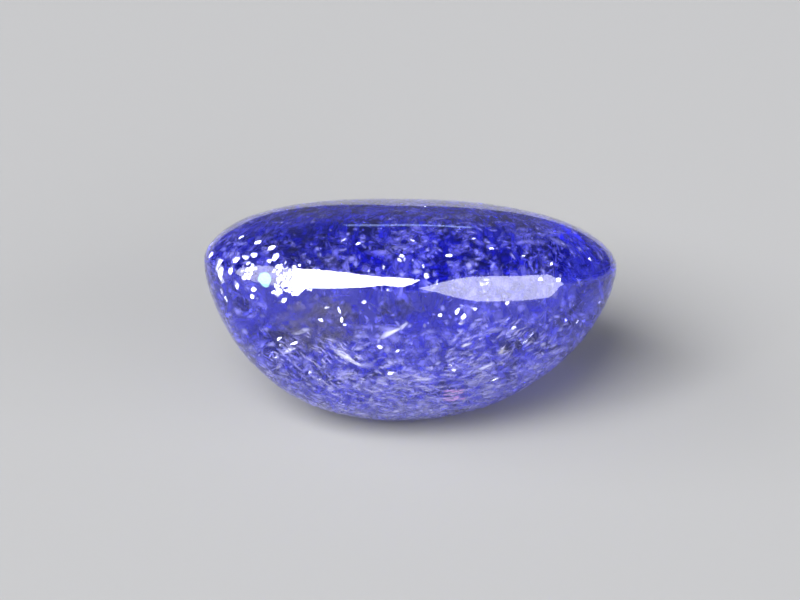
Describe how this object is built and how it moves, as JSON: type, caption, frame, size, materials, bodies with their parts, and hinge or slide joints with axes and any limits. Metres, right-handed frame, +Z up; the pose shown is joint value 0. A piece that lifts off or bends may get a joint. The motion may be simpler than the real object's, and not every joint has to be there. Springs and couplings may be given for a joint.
{
  "type": "polished tanzanite cabochon",
  "caption": "Cushion-oval polished tanzanite, see-through blue-violet, low crown over a deep belly, lying on its belly on a small flat spot.",
  "frame": {"origin": "centre of the stone's box at the level of its flat rest spot", "axes": "+X along the stone's length towards its more pointed end, +Y towards its back edge, the way it leans, +Z up"},
  "size_m": [0.013, 0.0092, 0.0072],
  "materials": {
    "tanzanite_crystal": "polished, clear with inclusions"
  },
  "bodies": {
    "root": {"tanzanite": "tanzanite_crystal"}
  },
  "joints": []
}
